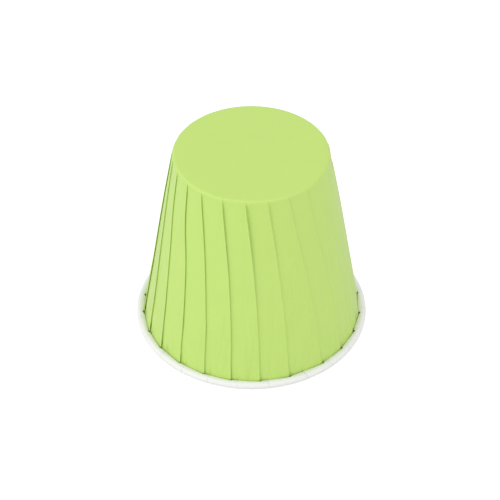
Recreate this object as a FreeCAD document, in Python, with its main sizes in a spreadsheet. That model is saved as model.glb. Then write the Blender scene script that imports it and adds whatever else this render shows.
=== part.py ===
import FreeCAD, Part
import math
import os
import Sketcher
from FreeCAD import Vector

# A pleated paper baking cup, upturned on its rolled rim, made from one folded disc of paper.
# The origin is the middle of the circle that the rim stands on, +Z is up and the closed end is at the top.
# The side wall is folded into knife pleats: each pleat is an outer layer, a return layer behind it and the start
# of the next pleat behind that, and between two pleats a single layer rises from the back to the front.
# Angles are counted from -Y, and grow towards +X.

# How a sketch names the two ends of a line or arc.
START, END = 1, 2

SIZES = [
    # alias, value, what it is
    ("rim_diameter", 60.0, "across the outside of the rolled rim, at its corners"),
    ("cup_height", 52.0, "from the foot of the rim to the closed end"),
    ("end_diameter", 38.5, "across the closed end, to the line of the wall"),
    ("corner_radius", 0.8, "round the edge of the closed end"),
    ("collar_height", 0.5, "plain band between that rounding and the pleats"),
    ("collar_cover", 0.04, "how far the plain band covers the pleats, on each face"),
    ("collar_overlap", 0.3, "how far the pleats run up into the plain band"),
    ("curl_diameter", 1.8, "of the rolled rim, outside"),
    ("curl_tail_angle", 60.0, "how far the roll goes on past its top, degrees"),
    ("paper_thickness", 0.12, "of the sheet"),
    ("layer_gap", 0.08, "between two layers of a pleat"),
    ("pleat_count", 24, "knife pleats in the wall"),
    ("first_overlap", 0.5, "length of a pleat's return layer where it leaves the plain band"),
    ("pleat_turn", 9.5, "how far a fold runs round from the closed end to the rim, degrees"),
    ("turn_ease", 1.84, "above 1 the folds turn most near the closed end"),
    ("wall_bands", 6, "flat stretches of a fold down the wall"),
    ("foot_bands", 2, "flat stretches of the turn at the foot"),
    ("roll_bands", 6, "flat stretches round the roll"),
    ("seam_tolerance", 0.0004, "how near two edges of the folded sheet are when they are one edge"),
]

DERIVED = [
    # alias, formula, what it is
    ("layer_pitch", "=paper_thickness + layer_gap", "from one layer to the next"),
    ("fold_depth", "=2 * layer_pitch + paper_thickness", "three layers, through the wall"),
    ("curl_radius", "=curl_diameter / 2", "of the roll, outside"),
    ("roll_centre", "=rim_diameter / 2 - curl_radius", "of the roll, from the axis"),
    ("roll_hollow", "=curl_radius - fold_depth", "radius of the hollow in the roll"),
    ("wall_foot_radius", "=rim_diameter / 2 - curl_diameter", "outside of the wall, level with the roll's middle"),
    ("end_radius", "=end_diameter / 2", "outside of the wall, level with the closed end"),
    ("wall_slope", "=(wall_foot_radius - end_radius) / (cup_height - curl_radius)", "radius gained per height"),
    ("collar_foot", "=cup_height - corner_radius - collar_height", "height of the plain band's foot"),
    ("collar_radius", "=end_radius + (cup_height - collar_foot) * wall_slope + collar_cover", "of that foot, outside"),
    ("panel_hollow", "=collar_radius * (1 - cos(180deg / pleat_count))", "a flat panel's middle, inside the circle"),
    ("collar_thickness", "=fold_depth + panel_hollow + 2 * collar_cover", "through the plain band"),
]


def make_sheet(doc):
    """Writes the driving sizes, then the ones that follow from them."""
    sheet = doc.addObject("Spreadsheet::Sheet", "Sizes")
    for row, (alias, value, note) in enumerate(SIZES + DERIVED, start=1):
        sheet.set(f"A{row}", note)
        sheet.set(f"B{row}", str(value))
        sheet.setAlias(f"B{row}", alias)
    doc.recompute()
    return sheet


def cell(alias):
    return f"Sizes.{alias}"


class Profile:
    """A half section in the XZ plane of a body: lines and arcs whose ends are placed by expressions."""

    def __init__(self, body, name):
        plane = next(f for f in body.Origin.OriginFeatures if f.Role == "XZ_Plane")
        self.sketch = body.newObject("Sketcher::SketchObject", name)
        self.sketch.AttachmentSupport = [(plane, "")]
        self.sketch.MapMode = "FlatFace"

    def line(self, start, end):
        return self.sketch.addGeometry(Part.LineSegment(Vector(*start, 0), Vector(*end, 0)), False)

    def arc(self, centre, radius, start_angle, end_angle):
        circle = Part.Circle(Vector(*centre, 0), Vector(0, 0, 1), radius)
        arc = Part.ArcOfCircle(circle, math.radians(start_angle), math.radians(end_angle))
        return self.sketch.addGeometry(arc, False)

    def join(self, first, first_end, second, second_end, kind="Coincident"):
        self.sketch.addConstraint(Sketcher.Constraint(kind, first, first_end, second, second_end))

    def rule(self, kind, *parts):
        self.sketch.addConstraint(Sketcher.Constraint(kind, *parts))

    def size(self, kind, *parts, value, formula):
        """Adds a dimension and ties it to the sheet."""
        index = self.sketch.addConstraint(Sketcher.Constraint(kind, *parts, value))
        self.sketch.setExpression(f"Constraints[{index}]", formula)

    def place(self, geometry, end, x, z, x_formula, z_formula):
        """Puts one end of a line or arc, or an arc's centre, at a point."""
        self.size("DistanceX", -1, 1, geometry, end, value=x, formula=x_formula)
        self.size("DistanceY", -1, 1, geometry, end, value=z, formula=z_formula)


def revolve(body, profile, name):
    """Turns a half section once round the cup's axis."""
    turn = body.newObject("PartDesign::Revolution", name)
    turn.Profile = profile.sketch
    turn.ReferenceAxis = (profile.sketch, ["V_Axis"])
    turn.Angle = 360
    body.Tip = turn
    return turn


def make_closed_end(doc, sizes):
    """The flat end, its rounded edge, and the plain band that the pleats hang from, crimped solid inside."""
    height, radius = sizes["cup_height"], sizes["end_radius"] + sizes["collar_cover"]
    paper, corner, band = sizes["paper_thickness"], sizes["corner_radius"], sizes["collar_thickness"]
    slope, foot, foot_radius = sizes["wall_slope"], sizes["collar_foot"], sizes["collar_radius"]
    lean = math.degrees(math.atan(slope))
    reach = corner * math.tan(math.radians((90 - lean) / 2))

    body = doc.addObject("PartDesign::Body", "ClosedEnd")
    p = Profile(body, "ClosedEndSection")
    top = p.line((0, height), (radius - reach, height))
    bend = p.arc((radius - reach, height - corner), corner, lean, 90)
    wall = p.line((radius + reach * slope, height - reach), (foot_radius, foot))
    edge = p.line((foot_radius, foot), (foot_radius - band, foot))
    inner_wall = p.line((foot_radius - band, foot), (foot_radius - band, foot + sizes["collar_height"]))
    bevel = p.line((foot_radius - band, foot + sizes["collar_height"]), (radius - corner - band, height - paper))
    underside = p.line((radius - corner - band, height - paper), (0, height - paper))
    axis = p.line((0, height - paper), (0, height))

    p.join(top, END, bend, END, "Tangent")
    p.join(bend, START, wall, START, "Tangent")
    for first, second in ((wall, edge), (edge, inner_wall), (inner_wall, bevel), (bevel, underside),
                          (underside, axis), (axis, top)):
        p.join(first, END, second, START)
    for level in (top, underside, edge):
        p.rule("Horizontal", level)
    for upright in (axis, inner_wall):
        p.rule("Vertical", upright)
    p.place(top, START, 0, height, "0 mm", f"{cell('cup_height')} * 1 mm")
    p.place(wall, END, foot_radius, foot, f"{cell('collar_radius')} * 1 mm", f"{cell('collar_foot')} * 1 mm")
    p.size("Distance", axis, value=paper, formula=f"{cell('paper_thickness')} * 1 mm")
    p.size("Distance", edge, value=band, formula=f"{cell('collar_thickness')} * 1 mm")
    p.size("Distance", inner_wall, value=sizes["collar_height"], formula=f"{cell('collar_height')} * 1 mm")
    p.size("Radius", bend, value=corner, formula=f"{cell('corner_radius')} * 1 mm")
    p.size("Angle", wall, value=math.radians(lean - 90), formula=f"atan({cell('wall_slope')}) - 90 deg")
    p.size("DistanceX", bevel, END, bevel, START, value=corner, formula=f"{cell('corner_radius')} * 1 mm")
    revolve(body, p, "ClosedEndTurned")
    return body


def sheet_path(sizes):
    """Where the sheet's green face runs, from the plain band down the wall and round the roll to the cut edge.

    Each station is a radius, a height, the way the sheet is heading, as an angle below level, and the share of the
    wall passed. The white face lies to the right of that heading: inside the cup, and outside the roll.
    """
    slope, hollow, depth = sizes["wall_slope"], sizes["roll_hollow"], sizes["fold_depth"]
    steep = math.pi / 2 - math.atan(slope)
    wall_top = sizes["collar_foot"] + sizes["collar_overlap"]
    wall_foot = depth + hollow * (1 - math.cos(steep))
    foot_radius = sizes["wall_foot_radius"] + (sizes["curl_radius"] - wall_foot) * slope

    stations = []
    for i in range(int(sizes["wall_bands"]) + 1):
        share = i / sizes["wall_bands"]
        height = wall_top + (wall_foot - wall_top) * share
        stations.append((foot_radius - (height - wall_foot) * slope, height, steep, share))
    turn_centre = foot_radius + hollow * math.sin(steep)
    for i in range(1, int(sizes["foot_bands"]) + 1):
        heading = steep * (1 - i / sizes["foot_bands"])
        stations.append((turn_centre - hollow * math.sin(heading), depth + hollow * (1 - math.cos(heading)), heading, 1))
    whole_roll = math.pi + math.radians(sizes["curl_tail_angle"])
    for i in range(int(sizes["roll_bands"]) + 1):
        heading = -whole_roll * i / sizes["roll_bands"]
        stations.append((sizes["roll_centre"] - hollow * math.sin(heading),
                         depth + hollow * (1 - math.cos(heading)), heading, 1))
    return stations


def pleat_corners(sizes, radius, share):
    """One pleat's section as corners of its green face and of its white face, in the order of the sheet.

    A corner is a distance back from the pleat's front fold, along its flat panel, and a depth behind the panel.
    The sheet rises from behind the last pleat to the front, runs to the front fold, comes back behind itself to
    the back fold, and sets off again behind both layers.
    """
    paper, layer, half = sizes["paper_thickness"], sizes["layer_pitch"], math.pi / sizes["pleat_count"]
    # The sheet is a flat disc, so a wall that spreads less than the disc has paper to spare: the pleats take it up.
    slant = share * math.hypot(1, sizes["wall_slope"]) * sizes["collar_foot"]
    spread = math.sin(math.atan(sizes["wall_slope"]))
    overlap = sizes["first_overlap"] + slant * (1 - spread) * half
    side = 2 * radius * math.sin(half)
    green = [(side, 2 * layer), (overlap, 0), (0, 0), (0, layer + paper),
             (overlap - paper, layer + paper), (overlap - paper, 2 * layer)]
    white = [(side, 2 * layer + paper), (overlap, paper), (paper, paper), (paper, layer),
             (overlap, layer), (overlap, 2 * layer + paper)]
    return green, white


def place_corner(sizes, station, pleat, back, depth):
    """A corner of a pleat's section as a point of the cup."""
    radius, height, heading, share = station
    half = math.pi / sizes["pleat_count"]
    turned = math.radians(sizes["pleat_turn"]) * (1 - (1 - share) ** sizes["turn_ease"])
    fold = 2 * half * pleat + turned
    outward = -depth * math.sin(heading)
    if back > 0 and math.isclose(back, 2 * radius * math.sin(half)):
        # The far end of a panel is the corner that it shares with the panel before it.
        around, reach = fold - 2 * half, radius + outward / math.cos(half)
        return Vector(reach * math.sin(around), -reach * math.cos(around), height - depth * math.cos(heading))
    facing = fold - half
    x = radius * math.sin(fold) - back * math.cos(facing) + outward * math.sin(facing)
    y = -radius * math.cos(fold) - back * math.sin(facing) - outward * math.cos(facing)
    return Vector(x, y, height - depth * math.cos(heading))


def make_folded_wall(doc, sizes):
    """The pleated wall and the roll at its foot: one sheet between its green face and its white face."""
    stations, count = sheet_path(sizes), int(sizes["pleat_count"])
    points, rings = [], []
    for station in stations:
        for face in pleat_corners(sizes, station[0], station[3]):
            ring = []
            for pleat in range(count):
                for back, depth in face:
                    ring.append(len(points))
                    points.append(place_corner(sizes, station, pleat, back, depth))
            rings.append(ring)
    green, white = rings[0::2], rings[1::2]
    corners = len(green[0]) // count
    return_layer = 3

    facets = []

    def strip(first, second):
        """Two triangles on each edge of a ring, cut along the same diagonal in every layer of a pleat."""
        for i in range(len(first)):
            j = (i + 1) % len(first)
            if i % corners == return_layer:
                facets.extend([(first[i], second[i], first[j]), (first[j], second[i], second[j])])
            else:
                facets.extend([(first[i], second[i], second[j]), (first[i], second[j], first[j])])

    for i in range(len(stations) - 1):
        strip(green[i], green[i + 1])
        strip(white[i + 1], white[i])
    strip(white[0], green[0])
    strip(green[-1], white[-1])
    shell = Part.Shape()
    shell.makeShapeFromMesh((points, facets), sizes["seam_tolerance"])
    wall = doc.addObject("Part::Feature", "FoldedWall")
    wall.Shape = Part.Solid(Part.Shell(shell.Faces))
    return wall


def main():
    doc = FreeCAD.newDocument("BakingCup")
    sheet = make_sheet(doc)
    sizes = {alias: float(sheet.get(alias)) for alias, value, note in SIZES + DERIVED}

    cup = doc.addObject("Part::MultiFuse", "BakingCup")
    cup.Shapes = [make_closed_end(doc, sizes), make_folded_wall(doc, sizes)]
    cup.Label = "baking_cup"
    doc.recompute()

    for item in doc.Objects:
        if "Invalid" in item.State or "Error" in item.State:
            raise RuntimeError(f"{item.Name} failed: {item.State}")
    os.makedirs("parts", exist_ok=True)
    for node in [cup]:
        shape = node.Shape
        if shape.isNull() or not shape.isValid() or len(shape.Solids) != 1:
            raise RuntimeError(f"{node.Label} isn't one valid solid")
        print(node.Label, "solids", len(shape.Solids), "faces", len(shape.Faces), "volume", round(shape.Volume, 2),
              "box", [round(v, 3) for v in (shape.BoundBox.XLength, shape.BoundBox.YLength, shape.BoundBox.ZLength)])
        shape.exportStep(f"parts/{node.Label}.step")


main()
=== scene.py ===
import math
import random
from collections import namedtuple

import bmesh
import bpy
from bpy.props import FloatProperty, FloatVectorProperty, IntProperty, PointerProperty
from bpy.types import Operator, Panel, PropertyGroup
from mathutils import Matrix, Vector, noise


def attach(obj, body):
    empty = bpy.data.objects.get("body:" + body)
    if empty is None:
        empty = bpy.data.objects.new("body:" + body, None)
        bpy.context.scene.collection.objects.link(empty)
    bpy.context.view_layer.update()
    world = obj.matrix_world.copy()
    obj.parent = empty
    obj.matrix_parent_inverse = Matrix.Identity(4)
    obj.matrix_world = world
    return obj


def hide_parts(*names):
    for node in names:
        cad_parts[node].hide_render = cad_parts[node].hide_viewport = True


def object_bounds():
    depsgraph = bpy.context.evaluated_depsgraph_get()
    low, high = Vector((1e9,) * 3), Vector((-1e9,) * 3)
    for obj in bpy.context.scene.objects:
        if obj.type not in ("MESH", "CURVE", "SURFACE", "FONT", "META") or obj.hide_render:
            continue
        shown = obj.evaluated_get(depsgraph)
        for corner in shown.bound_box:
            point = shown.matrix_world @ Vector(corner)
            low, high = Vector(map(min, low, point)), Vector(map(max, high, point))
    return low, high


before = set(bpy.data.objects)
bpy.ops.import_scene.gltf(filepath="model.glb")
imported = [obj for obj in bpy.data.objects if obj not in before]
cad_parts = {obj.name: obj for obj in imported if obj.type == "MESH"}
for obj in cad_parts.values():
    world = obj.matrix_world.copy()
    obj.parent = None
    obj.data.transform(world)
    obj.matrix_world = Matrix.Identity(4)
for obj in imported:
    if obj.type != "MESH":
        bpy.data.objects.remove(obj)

bl_info = {
    "name": "Pleated Baking Cup",
    "version": (1, 0, 0),
    "blender": (4, 5, 0),
    "location": "View3D > Sidebar > Baking Cup",
    "description": "Folds coated paper into an upturned, pleated baking cup with a rolled rim",
    "category": "Object",
}

MM = 0.001
CAD_LOW, CAD_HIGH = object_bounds()
CAD_HEIGHT = CAD_HIGH.z - CAD_LOW.z
CAD_NODE = "baking_cup"
PIECE = "folded_paper_cup"

# Where the front folds of the pleats lie round the cup, in degrees from -Y towards +X, at shares of the wall
# from the closed end to the rim. These are the ones that the photograph shows; the rest share the way round
# the back.
FRONT_FOLDS = (
    (0.0, (-81.9, -67.6, -52.3, -37.8, -20.8, -4.1, 11.7, 27.5, 43.0)),
    (0.2, (-79.1, -65.3, -49.4, -33.0, -17.0, -0.8, 14.8, 31.2, 46.7)),
    (0.42, (-75.1, -60.6, -44.2, -29.1, -13.6, 1.9, 17.4, 35.0, 50.3)),
    (0.7, (-71.2, -57.2, -41.3, -26.1, -11.4, 3.8, 19.3, 38.2, 53.2)),
    (1.0, (-69.0, -55.1, -39.9, -24.8, -10.5, 4.4, 19.9, 39.5, 54.2)),
)

# How open each of those folds stands near the closed end and at the rim: 0 is pressed flat, and 1 stands off
# by the fold lift.
FRONT_OPENINGS_AT_END = (0.1, 0.2, 0.6, 0.8, 1.2, 1.4, 0.4, 0.1, 0.0)
FRONT_OPENINGS_AT_RIM = (0.4, 0.4, 0.55, 0.55, 0.4, 0.1, 0.0, 0.0, 0.0)

# How deep the panel that ends at each of those folds dips where it starts, near the closed end.
FRONT_DIPS = (0.0, 0.0, 0.1, 0.1, 0.0, 0.2, 1.0, 0.6, 0.0)

# The pleats that the photograph doesn't show are drawn at random, with an opening from 0 to 1.
SEED = 7
HIDDEN_STRAY = 0.06     # how far such a fold strays, as a share of the gap between two
HIDDEN_DIP = 0.5        # how deep its panel dips at most

# Where each stretch of a pleat's section has its columns of the mesh, as shares of the stretch, in the order
# of the sheet. The riser and the front are the open side of the pleat, and the rest is its fold.
SECTION = (
    ("riser", (0, 0.05, 0.11, 0.3, 0.55, 0.8, 0.99)),
    ("front", (0, 0.3, 0.6, 0.85)),
    ("front_fold", (0, 0.25, 0.5, 0.75)),
    ("return", (0, 0.4, 0.8)),
    ("back_fold", (0, 0.25, 0.5, 0.75)),
    ("start", (0, 0.4, 0.75, 0.93)),
)
OPEN_SIDE = ("riser", "front")

# Places down the wall, as shares of its length from the closed end.
FOLDS_OPEN = 0.05       # the folds stand fully open from here, and the dips have their full depth
DIPS_END = 0.6
PANELS_FLAT = 0.625
FOOT_LIFT_START = 0.9
FOOT_DIP_START = 0.92

# Lengths of the sheet over which it changes.
GATHERING = 0.8 * MM    # from flat to folded, up to the corner's end
PRESSING = 1 * MM       # from loose to pressed, up to the wall's end
SETTLING = 1 * MM       # from the wall's end to the even roll
ROUGHENING = 12 * MM    # from smooth to wavy, past the corner

LAYER_OF_OVERLAP = 0.62  # a layer takes at most this share of the overlap under it
RISER_KEPT = 0.985      # in the roll the riser keeps its depth over this share of itself
SLANT = 0.75            # in the roll's tail the panels slant by this share of a fold's step
SLANT_END = 0.93        # where they turn back, as a share of their way back from the fold
ROLL_EVENS = 0.6        # how much of the waviness the roll evens out

# Noise of the broad waves and the upright flutes: changes to a radian round the cup, and length of one.
WAVES = (2.2, 22 * MM)
FLUTES = (11, 30 * MM)

END_RINGS = (0.6, 0.95)  # rings of the mesh on the closed end, as shares of its flat radius
FIRST_WALL_RINGS = tuple(step * MM for step in (0.2, 0.4, 0.7, 1.0, 2.2))  # extra ones past the corner
MERGE_DISTANCE = 0.0005 * MM
GRID_REACH = 0.5        # from the middle of the flat grid to its sides

# How a face of the paper looks apart from its colour: roughness of the shader, how much the colour varies,
# height of the fibres and depth of the streaks.
Finish = namedtuple("Finish", "roughness mottle fibre_height streak_depth")
GREEN_FINISH = Finish(0.33, 0.02, 0.004 * MM, 0.9 * MM)
WHITE_FINISH = Finish(0.6, 0.01, 0.006 * MM, 0)
PAPER_SPECULAR = 0.35
FIBRE_STRENGTH = 0.5

# Noise of the paper's patterns: features to the metre, detail and roughness. The fibres and streaks are drawn
# out upright by a scale under 1 along Z, and the streaks come in from one height down to another.
CLOUDS = (160, 4, 0.5)
FIBRES = (2600, 5, 0.65)
STREAKS = (260, 2, 0.5)
FIBRES_SCALE_Z = 0.45
STREAKS_SCALE_Z = 0.05
STREAKS_START, STREAKS_FULL = 36 * MM, 14 * MM

# The soft boxes: name, place, width in metres and power in watts. All face a point low on the cup's axis.
SOFT_BOXES = (
    ("top_soft_box", (0.0, -0.05, 0.75), 0.22, 0.57),
    ("front_soft_box", (0.58, -0.60, 0.30), 0.8, 1.4),
    ("left_soft_box", (-0.70, -0.30, 0.28), 0.8, 2.4),
)
LAMPS_AIM = Vector((0, 0, 20 * MM))

SURROUNDINGS_LIGHT = 0.78  # strength of the surroundings' light
SURROUNDINGS_SEEN = 1.0    # what the camera sees of them, which is white
FLOOR_GLOW = 0.45          # how much brighter the camera sees the floor
FLOOR_REACH = 3            # from the middle of the floor to its sides, in metres
SENSOR_WIDTH = 36
CLIP_START = 10 * MM


class CupSizes(PropertyGroup):
    rim_diameter: FloatProperty(
        name="Rim", description="Across the outside of the rolled rim", default=60 * MM, unit="LENGTH")
    height: FloatProperty(
        name="Height", description="From the floor to the closed end", default=CAD_HEIGHT, unit="LENGTH")
    end_diameter: FloatProperty(
        name="Closed end", description="Across the closed end, to the line of the wall",
        default=38.5 * MM, unit="LENGTH")
    corner_radius: FloatProperty(
        name="Corner", description="Rounding at the edge of the closed end", default=0.8 * MM, unit="LENGTH")
    curl_diameter: FloatProperty(
        name="Roll", description="Thickness of the rolled rim", default=1.8 * MM, unit="LENGTH")
    curl_tail: FloatProperty(
        name="Roll tail", description="How far the roll goes on past its top",
        default=math.radians(75), subtype="ANGLE")
    paper: FloatProperty(
        name="Paper", description="Thickness of the sheet", default=0.10 * MM, unit="LENGTH")
    layer_pitch: FloatProperty(
        name="Layer", description="From one layer of a pleat to the next", default=0.11 * MM, unit="LENGTH")
    rolled_pitch: FloatProperty(
        name="Rolled layer", description="From one layer to the next in the roll",
        default=0.105 * MM, unit="LENGTH")
    pleats: IntProperty(
        name="Pleats", description="Knife pleats round the wall", default=24, min=12)
    first_overlap: FloatProperty(
        name="First overlap", description="Length of a pleat's return layer where it starts",
        default=0.08 * MM, unit="LENGTH")
    pinch: FloatProperty(
        name="Pinch", description="Width at the corner that a pleat's fold is gathered from",
        default=0.25 * MM, unit="LENGTH")
    waviness: FloatProperty(
        name="Waviness", description="How far the wall strays in and out", default=0.07 * MM, unit="LENGTH")
    flutes: FloatProperty(
        name="Flutes", description="Depth of the fine upright flutes in the wall",
        default=0.03 * MM, unit="LENGTH")
    dip: FloatProperty(
        name="Dip", description="How far a panel dips where it starts, near the closed end",
        default=0.25 * MM, unit="LENGTH")
    foot_dip: FloatProperty(
        name="Foot dip", description="How far every panel dips where it starts, next to the roll",
        default=0.15 * MM, unit="LENGTH")
    notch_depth: FloatProperty(
        name="Notch depth", description="How far the roll's cut edge draws back at each fold",
        default=0.55 * MM, unit="LENGTH")
    notch_width: FloatProperty(
        name="Notch width", description="Length of the roll's cut edge that draws back at each fold",
        default=1.1 * MM, unit="LENGTH")
    notch_shift: FloatProperty(
        name="Notch shift", description="How far past each fold the middle of the notch lies",
        default=0.3 * MM, unit="LENGTH")
    lift: FloatProperty(
        name="Fold lift", description="How far an open fold stands off the wall",
        default=0.20 * MM, unit="LENGTH")
    foot_lift: FloatProperty(
        name="Foot lift", description="How far every fold stands off the wall next to the roll",
        default=0.12 * MM, unit="LENGTH")


class CupColours(PropertyGroup):
    green: FloatVectorProperty(
        name="Green face", description="Colour of the outside of the cup",
        subtype="COLOR", size=3, default=(0.54, 0.747, 0.182), min=0, max=1)
    white: FloatVectorProperty(
        name="White face", description="Colour of the inside of the cup and of the roll",
        subtype="COLOR", size=3, default=(0.845, 0.85, 0.835), min=0, max=1)
    floor: FloatVectorProperty(
        name="Floor", description="Colour of the floor",
        subtype="COLOR", size=3, default=(0.80, 0.80, 0.80), min=0, max=1)


class StageSizes(PropertyGroup):
    distance: FloatProperty(
        name="Camera distance", description="From the cup's middle to the camera",
        default=435 * MM, unit="LENGTH")
    elevation: FloatProperty(
        name="Camera elevation", description="Above the horizon",
        default=math.radians(40.45), subtype="ANGLE")
    lens: FloatProperty(
        name="Lens", description="Focal length in millimetres", default=123.8)
    shift: FloatVectorProperty(
        name="Shift", description="Of the picture, in widths of the sensor",
        size=2, default=(-0.0027, -0.0336))


def ramp(value, start, end):
    """0 up to the start, 1 from the end on, and a soft S between."""
    t = min(1.0, max(0.0, (value - start) / (end - start)))
    return t * t * (3 - 2 * t)


def ripple(angle, out, around, length):
    """Noise with so many changes to a radian round the cup, and one for each such length of the sheet."""
    return noise.noise(Vector((around * math.sin(angle), around * math.cos(angle), out / length)))


class SheetPath:
    """The green face's path, seen from the side, from the middle of the closed end to the roll's cut edge.

    It is a chain of straight stretches and arcs, each with a length, a bend and a number of rings of the mesh.
    The heading is the angle below level, so the white face lies to its right: inside the cup, and outside the
    roll.
    """

    def __init__(self, sizes):
        end, rim = sizes.end_diameter / 2, sizes.rim_diameter / 2
        curl, corner = sizes.curl_diameter / 2, sizes.corner_radius
        depth = 2 * sizes.rolled_pitch + sizes.paper
        hollow = curl - depth
        slope = (rim - 2 * curl - end) / (sizes.height - curl)
        steep = math.pi / 2 - math.atan(slope)
        reach = corner * math.tan(steep / 2)
        foot_height = depth + hollow * (1 - math.cos(steep))
        foot_radius = rim - 2 * curl + (curl - foot_height) * slope
        self.wall = (sizes.height - foot_height) / math.sin(steep) - reach
        sole = rim - curl - foot_radius - hollow * math.sin(steep)
        roll = math.pi + sizes.curl_tail
        self.stretches = [
            (end - reach, 0.0, 1),
            (corner * steep, steep, 8),
            (self.wall, 0.0, 28),
            (hollow * steep, -steep, 6),
            (sole, 0.0, 2),
            (hollow * roll, -roll, 18),
        ]
        self.height = sizes.height
        self.corner_end = end - reach + corner * steep
        self.wall_end = self.corner_end + self.wall
        self.length = sum(length for length, bend, count in self.stretches)
        self.roll_top = self.length - hollow * sizes.curl_tail
        self.spread = math.cos(steep)

    def at(self, out):
        """Radius, height and heading at a distance out along the sheet."""
        radius, height, heading = 0.0, self.height, 0.0
        for length, bend, count in self.stretches:
            step = min(out, length)
            if bend:
                turned = heading + bend * step / length
                arc = length / bend
                radius += arc * (math.sin(turned) - math.sin(heading))
                height -= arc * (math.cos(heading) - math.cos(turned))
                heading = turned
            else:
                radius += step * math.cos(heading)
                height -= step * math.sin(heading)
            out -= step
            if out <= 0:
                break
        return radius, height, heading

    def share(self, out):
        """How much of the wall is passed at a distance out along the sheet, from 0 to 1."""
        return min(1.0, max(0.0, (out - self.corner_end) / self.wall))

    def rings(self):
        """Distances out at which the mesh has a ring of points: closer together where the sheet bends."""
        flat_end = self.stretches[0][0]
        places, start = [share * flat_end for share in END_RINGS], 0.0
        for length, bend, count in self.stretches:
            places += [start + length * (i + 1) / count for i in range(count)]
            start += length
        return sorted(places + [self.corner_end + step for step in FIRST_WALL_RINGS])


class Ring:
    """What all the pleats have in common at a distance out along the sheet."""

    def __init__(self, sizes, path, out):
        self.out, self.share = out, path.share(out)
        self.radius = path.at(out)[0]
        self.folded = ramp(out, path.corner_end - GATHERING, path.corner_end)
        self.pressed = ramp(out, path.wall_end - PRESSING, path.wall_end)
        rolled = ramp(out, path.wall_end, path.wall_end + SETTLING)
        self.along_tail = max(0.0, (out - path.roll_top) / (path.length - path.roll_top))
        tail, loose = ramp(self.along_tail, 0, 1), 1 - self.pressed

        spare_paper = self.share * path.wall * (1 - path.spread) * math.pi / sizes.pleats
        self.overlap = sizes.first_overlap + spare_paper
        pitch = sizes.layer_pitch + (sizes.rolled_pitch - sizes.layer_pitch) * self.pressed
        self.layer = min(pitch, LAYER_OF_OVERLAP * self.overlap)

        opened = ramp(self.share, 0, FOLDS_OPEN)
        self.lift = sizes.lift * opened * loose
        self.foot_lift = sizes.foot_lift * ramp(self.share, FOOT_LIFT_START, 1) * loose
        self.dip = sizes.dip * opened * (1 - ramp(self.share, 0, DIPS_END))
        self.foot_dip = sizes.foot_dip * ramp(self.share, FOOT_DIP_START, 1) * loose

        self.slant = SLANT * (2 * sizes.layer_pitch + sizes.foot_lift) * tail
        self.flatness = ramp(self.share, 0, PANELS_FLAT) * max(1 - rolled, tail)
        roughened = ramp(out, path.corner_end, path.corner_end + ROUGHENING)
        self.roughness = roughened * (1 - ROLL_EVENS * rolled)


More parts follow.
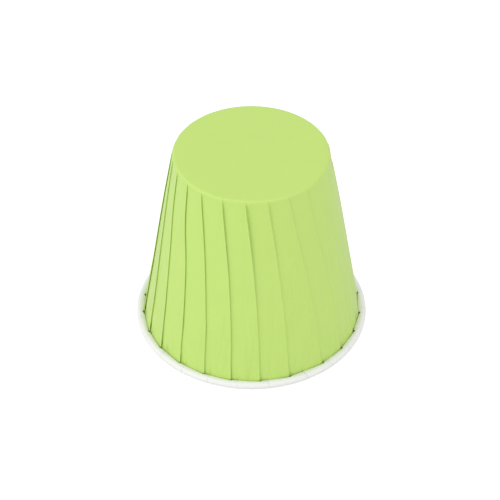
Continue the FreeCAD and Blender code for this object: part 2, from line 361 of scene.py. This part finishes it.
class Pleats:
    """Where the pleats lie round the cup, and the shape of their section."""

    def __init__(self, sizes, path):
        self.sizes, self.path, self.count = sizes, path, sizes.pleats
        draw = random.Random(SEED)
        hidden = range(self.count - len(FRONT_DIPS))
        self.strays = [draw.uniform(-HIDDEN_STRAY, HIDDEN_STRAY) for k in hidden]
        hidden_openings = [draw.random() for k in hidden]
        self.end_openings = [*FRONT_OPENINGS_AT_END, *hidden_openings]
        self.rim_openings = [*FRONT_OPENINGS_AT_RIM, *hidden_openings]
        self.dips = [*FRONT_DIPS, *(draw.uniform(0, HIDDEN_DIP) for k in hidden)]
        self.folds = [(share, self.round_the_back(seen)) for share, seen in FRONT_FOLDS]
        self.columns = [(stretch, t) for stretch, shares in SECTION for t in shares]
        self.open_columns = sum(stretch in OPEN_SIDE for stretch, t in self.columns)

    def round_the_back(self, seen):
        """The seen folds, then the others spread over the rest of the circle, a little unevenly."""
        gap = (360 + seen[0] - seen[-1]) / (len(self.strays) + 1)
        back = [seen[-1] + gap * (i + 1 + stray) for i, stray in enumerate(self.strays)]
        return [math.radians(angle) for angle in (*seen, *back)]

    def folds_at(self, share):
        """The angle of every front fold at a share of the wall: a smooth curve through the given ones."""
        last = len(self.folds) - 2
        i = max(n for n in range(last + 1) if n == 0 or self.folds[n][0] <= share)
        (start, first), (end, second) = self.folds[i], self.folds[i + 1]
        t = (share - start) / (end - start)
        angles = []
        for k in range(self.count):
            leaving = self.slope(max(i, 1), k) * (end - start)
            arriving = self.slope(min(i + 1, last), k) * (end - start)
            angles.append(first[k] + (second[k] - first[k]) * ramp(t, 0, 1)
                          + leaving * t * (1 - t) ** 2 - arriving * t * t * (1 - t))
        return angles

    def slope(self, i, k):
        """How fast fold k turns at the given share number i, from the ones on either side of it."""
        (before, first), (after, second) = self.folds[i - 1], self.folds[i + 1]
        return (second[k] - first[k]) / (after - before)

    def flat_column(self, i, side):
        """How far back from the front fold column i lies where the sheet isn't folded yet.

        The columns of the fold lie side by side there, in the pinch.
        """
        pinch, opened, columns = self.sizes.pinch, self.open_columns, len(self.columns)
        if i < opened:
            return pinch + (side - pinch) * (1 - i / opened)
        return pinch * (1 - (i - opened) / (columns - opened))

    def folded_column(self, ring, stretch, t, side, lift, dips):
        """How far back from the front fold a column of the folded section lies, and the green face's depth.

        In the roll the riser keeps its depth and drops only at its end, so the white face outside is even.
        """
        layer, overlap, bend, (dip, next_dip) = ring.layer, ring.overlap, ring.layer / 2, dips
        if stretch == "riser":
            drop = ramp(t, RISER_KEPT * ring.pressed, 1)
            return side + (overlap - side) * t, 2 * layer * (1 - drop) + dip * (1 - t) ** 2
        if stretch == "front":
            t = 1 - (1 - t) ** 2
            return overlap + (bend - overlap) * t, -lift * t * t
        if stretch == "front_fold":
            return bend - bend * math.sin(math.pi * t), bend * (1 - math.cos(math.pi * t)) - lift
        if stretch == "return":
            return bend + (overlap - 2 * bend) * t, layer - lift * (1 - t) ** 2
        if stretch == "back_fold":
            return (overlap - bend + bend * math.sin(math.pi * t),
                    layer + bend * (1 - math.cos(math.pi * t)))
        return (overlap - bend) * (1 - t * t), 2 * layer + next_dip * t

    def notch(self, ring, part, side):
        """How far the roll's tail draws back next to the folds, most of all at its cut edge."""
        shift, half_width = self.sizes.notch_shift, self.sizes.notch_width / 2
        from_notch = min(part * side + shift, abs((1 - part) * side - shift))
        return self.sizes.notch_depth * ring.along_tail * (1 - ramp(from_notch, 0, half_width))

    def point(self, ring, fold, gap, part, depth):
        """A point of the sheet's middle layer, at a part of the gap back from a fold to the one before it."""
        sizes, angle = self.sizes, fold - gap * part
        radius, height, heading = self.path.at(ring.out - self.notch(ring, part, gap * ring.radius))
        depth += sizes.waviness * ring.roughness * ripple(angle, ring.out, *WAVES)
        depth += sizes.flutes * ring.roughness * ripple(angle, ring.out, *FLUTES)
        depth += sizes.paper / 2
        sagitta = ring.radius * (1 - math.cos(gap / 2)) * ring.flatness
        slant = ring.slant * part * (1 - ramp(part, SLANT_END, 1))
        reach = radius - depth * math.sin(heading) - sagitta * 4 * part * (1 - part) - slant
        return Vector((reach * math.sin(angle), -reach * math.cos(angle), height - depth * math.cos(heading)))

    def pleat(self, ring, k, fold, gap):
        """The points of pleat k in a ring, from the fold before it to its own."""
        side = gap * ring.radius
        opening = self.end_openings[k] * (1 - ring.share) + self.rim_openings[k] * ring.share
        lift = opening * ring.lift + ring.foot_lift
        dips = [ring.dip * self.dips[n % self.count] + ring.foot_dip for n in (k, k + 1)]
        points = []
        for i, (stretch, t) in enumerate(self.columns):
            flat = self.flat_column(i, side)
            back, depth = self.folded_column(ring, stretch, t, side, lift, dips)
            part = (flat + (back - flat) * ring.folded) / side
            points.append(self.point(ring, fold, gap, part, depth * ring.folded + ring.foot_lift))
        return points

    def ring_at(self, out):
        """All points of the sheet's middle layer at a distance out, once round the cup."""
        ring = Ring(self.sizes, self.path, out)
        folds = self.folds_at(ring.share)
        before, points = folds[-1] - 2 * math.pi, []
        for k, fold in enumerate(folds):
            points += self.pleat(ring, k, fold, fold - before)
            before = fold
        return points


def add_noise(tree, coordinates, scale, detail, roughness):
    """Noise of so many features to the metre."""
    texture = tree.nodes.new("ShaderNodeTexNoise")
    texture.inputs["Scale"].default_value = scale
    texture.inputs["Detail"].default_value = detail
    texture.inputs["Roughness"].default_value = roughness
    tree.links.new(coordinates, texture.inputs["Vector"])
    return texture.outputs["Fac"]


def mix_colours(tree, factor, first, second):
    """A mix of two colours, driven by a factor socket."""
    mix = tree.nodes.new("ShaderNodeMix")
    mix.data_type = "RGBA"
    mix.inputs["A"].default_value = (*first, 1)
    mix.inputs["B"].default_value = (*second, 1)
    tree.links.new(factor, mix.inputs["Factor"])
    return mix.outputs["Result"]


def scale_upright(tree, coordinates, scale_z):
    """The coordinates with another scale along Z."""
    mapping = tree.nodes.new("ShaderNodeMapping")
    mapping.inputs["Scale"].default_value = (1.0, 1.0, scale_z)
    tree.links.new(coordinates, mapping.inputs["Vector"])
    return mapping.outputs["Vector"]


def multiply(tree, first, second):
    """The product of two sockets."""
    product = tree.nodes.new("ShaderNodeMath")
    product.operation = "MULTIPLY"
    tree.links.new(first, product.inputs[0])
    tree.links.new(second, product.inputs[1])
    return product.outputs[0]


def strength_by_ray(tree, light, seen):
    """One strength for the light that falls on things, and another where the camera sees its source."""
    rays = tree.nodes.new("ShaderNodeLightPath")
    strength = tree.nodes.new("ShaderNodeMapRange")
    strength.inputs["To Min"].default_value = light
    strength.inputs["To Max"].default_value = seen
    tree.links.new(rays.outputs["Is Camera Ray"], strength.inputs["Value"])
    return strength.outputs["Result"]


def fade_in_down(tree, coordinates, start, full):
    """0 above a starting height and 1 below another."""
    place = tree.nodes.new("ShaderNodeSeparateXYZ")
    tree.links.new(coordinates, place.inputs["Vector"])
    fade = tree.nodes.new("ShaderNodeMapRange")
    fade.inputs["From Min"].default_value = start
    fade.inputs["From Max"].default_value = full
    tree.links.new(place.outputs["Z"], fade.inputs["Value"])
    return fade.outputs["Result"]


def add_bump(tree, height, distance, strength=1.0, over=None):
    """The normal of a height pattern, over another normal if there is one."""
    bump = tree.nodes.new("ShaderNodeBump")
    bump.inputs["Distance"].default_value = distance
    bump.inputs["Strength"].default_value = strength
    tree.links.new(height, bump.inputs["Height"])
    if over:
        tree.links.new(over, bump.inputs["Normal"])
    return bump.outputs["Normal"]


def paper_material(name, colour, finish):
    """Paper with a cloudy colour, pulp fibres as fine bump and, if it has any, streaks low on the wall."""
    material = bpy.data.materials.new(name)
    material.use_nodes = True
    tree = material.node_tree
    shader = tree.nodes["Principled BSDF"]
    coordinates = tree.nodes.new("ShaderNodeTexCoord").outputs["Object"]

    clouds = add_noise(tree, coordinates, *CLOUDS)
    darker = tuple(c * (1 - finish.mottle) for c in colour)
    lighter = tuple(min(1.0, c * (1 + finish.mottle)) for c in colour)
    tree.links.new(mix_colours(tree, clouds, darker, lighter), shader.inputs["Base Color"])

    fibres = add_noise(tree, scale_upright(tree, coordinates, FIBRES_SCALE_Z), *FIBRES)
    normal = add_bump(tree, fibres, finish.fibre_height, FIBRE_STRENGTH)
    if finish.streak_depth:
        streaks = add_noise(tree, scale_upright(tree, coordinates, STREAKS_SCALE_Z), *STREAKS)
        low_streaks = multiply(tree, streaks, fade_in_down(tree, coordinates, STREAKS_START, STREAKS_FULL))
        normal = add_bump(tree, low_streaks, finish.streak_depth, over=normal)
    tree.links.new(normal, shader.inputs["Normal"])

    shader.inputs["Roughness"].default_value = finish.roughness
    shader.inputs["Specular IOR Level"].default_value = PAPER_SPECULAR
    return material


class CUP_OT_fold_cup(Operator):
    """Fold a flat sheet of paper into the pleated cup and roll its rim"""
    bl_idname = "baking_cup.fold_cup"
    bl_label = "Fold Paper Cup"

    def execute(self, context):
        sizes, colours = context.scene.cup_sizes, context.scene.cup_colours
        mesh = self.fold_sheet(sizes)
        mesh.materials.append(paper_material("green_coated_paper", colours.green, GREEN_FINISH))
        mesh.materials.append(paper_material("white_baking_paper", colours.white, WHITE_FINISH))
        cup = bpy.data.objects.new(PIECE, mesh)
        context.scene.collection.objects.link(cup)

        wall = cup.modifiers.new("paper_thickness", "SOLIDIFY")
        wall.thickness = sizes.paper
        wall.offset = 0
        wall.material_offset = 1
        wall.material_offset_rim = 1

        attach(cup, "root")
        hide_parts(CAD_NODE)
        return {"FINISHED"}

    def fold_sheet(self, sizes):
        """Fold a flat grid ring by ring, join its ends and close its middle. Its faces point outwards."""
        path = SheetPath(sizes)
        pleats = Pleats(sizes, path)
        rings = [pleats.ring_at(out) for out in path.rings()]
        columns, rows = len(rings[0]), len(rings) - 1

        bm = bmesh.new()
        bmesh.ops.create_grid(bm, x_segments=columns, y_segments=rows, size=GRID_REACH)
        for vert in bm.verts:
            column = round((vert.co.x + GRID_REACH) * columns / (2 * GRID_REACH)) % columns
            row = round((vert.co.y + GRID_REACH) * rows / (2 * GRID_REACH))
            vert.co = rings[row][column]
        bmesh.ops.remove_doubles(bm, verts=bm.verts, dist=MERGE_DISTANCE)
        middle = [edge for edge in bm.edges if edge.is_boundary and edge.verts[0].co.z > sizes.height / 2]
        bmesh.ops.holes_fill(bm, edges=middle)
        bmesh.ops.recalc_face_normals(bm, faces=bm.faces)
        top = max(bm.faces, key=lambda face: face.calc_center_median().z)
        if top.normal.z < 0:
            bmesh.ops.reverse_faces(bm, faces=bm.faces)
        for face in bm.faces:
            face.smooth = True

        mesh = bpy.data.meshes.new(PIECE)
        bm.to_mesh(mesh)
        bm.free()
        return mesh


class CUP_OT_set_stage(Operator):
    """Lay the pale floor, hang the soft lamps and set up the camera"""
    bl_idname = "baking_cup.set_stage"
    bl_label = "Set Stage"

    def execute(self, context):
        context.scene.view_settings.view_transform = "Standard"
        self.lay_floor(context)
        self.light_surroundings(context)
        for name, place, width, power in SOFT_BOXES:
            self.hang_soft_box(context, name, Vector(place), width, power)
        self.set_camera(context)
        return {"FINISHED"}

    def lay_floor(self, context):
        """A wide pale floor, which the camera sees a little brighter: white but for the cup's shadow."""
        bm = bmesh.new()
        bmesh.ops.create_grid(bm, x_segments=1, y_segments=1, size=FLOOR_REACH)
        mesh = bpy.data.meshes.new("floor")
        bm.to_mesh(mesh)
        bm.free()
        floor = bpy.data.objects.new("floor", mesh)
        context.scene.collection.objects.link(floor)

        material = bpy.data.materials.new("pale_floor")
        material.use_nodes = True
        tree = material.node_tree
        shader = tree.nodes["Principled BSDF"]
        shader.inputs["Base Color"].default_value = (*context.scene.cup_colours.floor, 1)
        shader.inputs["Roughness"].default_value = 1
        shader.inputs["Specular IOR Level"].default_value = 0
        shader.inputs["Emission Color"].default_value = (1, 1, 1, 1)
        tree.links.new(strength_by_ray(tree, 0, FLOOR_GLOW), shader.inputs["Emission Strength"])
        mesh.materials.append(material)

    def light_surroundings(self, context):
        """White surroundings, which the camera sees at full strength."""
        world = bpy.data.worlds.new("studio")
        context.scene.world = world
        world.use_nodes = True
        tree = world.node_tree
        backdrop = tree.nodes["Background"]
        backdrop.inputs["Color"].default_value = (1, 1, 1, 1)
        strength = strength_by_ray(tree, SURROUNDINGS_LIGHT, SURROUNDINGS_SEEN)
        tree.links.new(strength, backdrop.inputs["Strength"])

    def hang_soft_box(self, context, name, place, width, power):
        """A square lamp that faces the cup."""
        data = bpy.data.lights.new(name, "AREA")
        data.shape = "SQUARE"
        data.size = width
        data.energy = power
        lamp = bpy.data.objects.new(name, data)
        lamp.location = place
        lamp.rotation_euler = (LAMPS_AIM - place).to_track_quat("-Z", "Y").to_euler()
        context.scene.collection.objects.link(lamp)

    def set_camera(self, context):
        """The camera in front of the cup, looking down at its middle."""
        scene, stage = context.scene, context.scene.cup_stage
        middle = Vector((0, 0, scene.cup_sizes.height / 2))
        towards_camera = Vector((0, -math.cos(stage.elevation), math.sin(stage.elevation)))
        camera = bpy.data.objects.new("camera", bpy.data.cameras.new("camera"))
        camera.data.sensor_width = SENSOR_WIDTH
        camera.data.lens = stage.lens
        camera.data.shift_x, camera.data.shift_y = stage.shift
        camera.data.clip_start = CLIP_START
        camera.location = middle + towards_camera * stage.distance
        camera.rotation_euler = (-towards_camera).to_track_quat("-Z", "Y").to_euler()
        scene.collection.objects.link(camera)
        scene.camera = camera


class CUP_PT_panel(Panel):
    """The cup's sizes, colours and stage, and the operators that make them"""
    bl_idname = "CUP_PT_panel"
    bl_label = "Baking Cup"
    bl_space_type = "VIEW_3D"
    bl_region_type = "UI"
    bl_category = "Baking Cup"

    def draw(self, context):
        layout, scene = self.layout, context.scene
        groups = {"Sizes": scene.cup_sizes, "Colours": scene.cup_colours, "Stage": scene.cup_stage}
        for heading, group in groups.items():
            layout.label(text=heading)
            for name in group.bl_rna.properties.keys():
                if name not in ("rna_type", "name"):
                    layout.prop(group, name)
        layout.operator(CUP_OT_fold_cup.bl_idname)
        layout.operator(CUP_OT_set_stage.bl_idname)


CLASSES = (CupSizes, CupColours, StageSizes, CUP_OT_fold_cup, CUP_OT_set_stage, CUP_PT_panel)


def register():
    for cls in CLASSES:
        bpy.utils.register_class(cls)
    bpy.types.Scene.cup_sizes = PointerProperty(type=CupSizes)
    bpy.types.Scene.cup_colours = PointerProperty(type=CupColours)
    bpy.types.Scene.cup_stage = PointerProperty(type=StageSizes)


def unregister():
    del bpy.types.Scene.cup_stage
    del bpy.types.Scene.cup_colours
    del bpy.types.Scene.cup_sizes
    for cls in reversed(CLASSES):
        bpy.utils.unregister_class(cls)


def main():
    register()
    bpy.ops.baking_cup.fold_cup()
    bpy.ops.baking_cup.set_stage()


if __name__ == "__main__":
    main()
